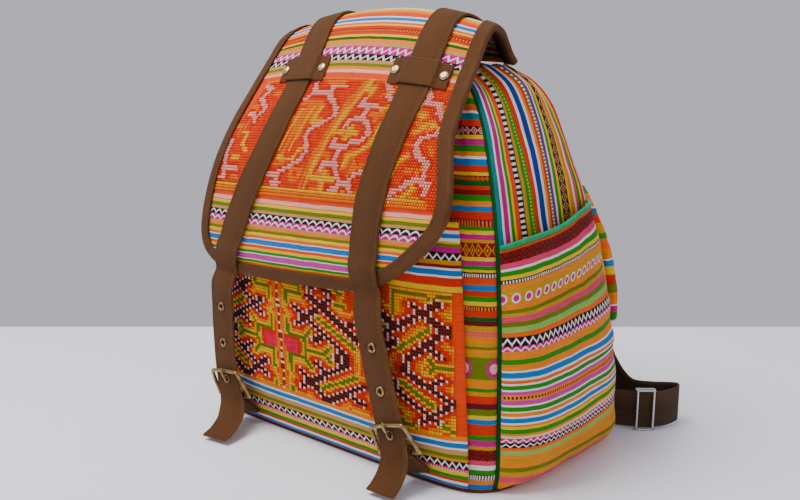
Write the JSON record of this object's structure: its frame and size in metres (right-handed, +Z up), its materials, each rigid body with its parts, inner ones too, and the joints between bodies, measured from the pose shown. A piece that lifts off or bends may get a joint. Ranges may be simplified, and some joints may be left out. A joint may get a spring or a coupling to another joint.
{
  "type": "backpack",
  "caption": "Embroidered cloth backpack with a gathered sack, a bound flap on two buckled straps, a flat front pocket, two side pockets and padded shoulder straps",
  "frame": {"origin": "under the centre of the sack's base, on the surface it stands on", "axes": "+X towards the pack's right as seen from the front, +Y from the front towards the shoulder straps, +Z up"},
  "size_m": [0.4304, 0.3433, 0.4001],
  "materials": {
    "striped_cloth": "woven cotton in fine stripes of many colours",
    "embroidered_cloth": "cotton with raised cross-stitch between woven stripes",
    "banded_cloth": "padded cotton strap with narrow embroidered cross bands",
    "piping_cord": "green cotton piping",
    "brown_canvas": "stiff brown canvas with stitched edges",
    "dark_webbing": "very dark brown woven webbing",
    "antique_brass": "worn antique brass plate",
    "plated_steel": "plated steel slider"
  },
  "bodies": {
    "root": {"front_panel": "striped_cloth", "side_panel_left": "striped_cloth", "side_panel_right": "striped_cloth", "back_panel": "striped_cloth", "side_pocket_left": "striped_cloth", "side_pocket_right": "striped_cloth", "front_pocket": "embroidered_cloth", "flap": "embroidered_cloth", "shoulder_pad_left": "banded_cloth", "shoulder_pad_right": "banded_cloth", "pocket_piping_left": "piping_cord", "pocket_piping_right": "piping_cord", "base_panel": "brown_canvas", "flap_binding": "brown_canvas", "closing_strap_left": "brown_canvas", "closing_strap_right": "brown_canvas", "strap_patch_left": "brown_canvas", "strap_patch_right": "brown_canvas", "buckle_tab_left": "brown_canvas", "buckle_tab_right": "brown_canvas", "webbing_left": "dark_webbing", "webbing_right": "dark_webbing", "rivet_left_a": "antique_brass", "rivet_left_b": "antique_brass", "rivet_right_a": "antique_brass", "rivet_right_b": "antique_brass", "eyelet_left_1": "antique_brass", "eyelet_left_2": "antique_brass", "eyelet_left_3": "antique_brass", "eyelet_right_1": "antique_brass", "eyelet_right_2": "antique_brass", "eyelet_right_3": "antique_brass", "buckle_frame_left": "antique_brass", "buckle_frame_right": "antique_brass", "buckle_prong_left": "antique_brass", "buckle_prong_right": "antique_brass", "slider_left": "plated_steel", "slider_right": "plated_steel"}
  },
  "joints": []
}
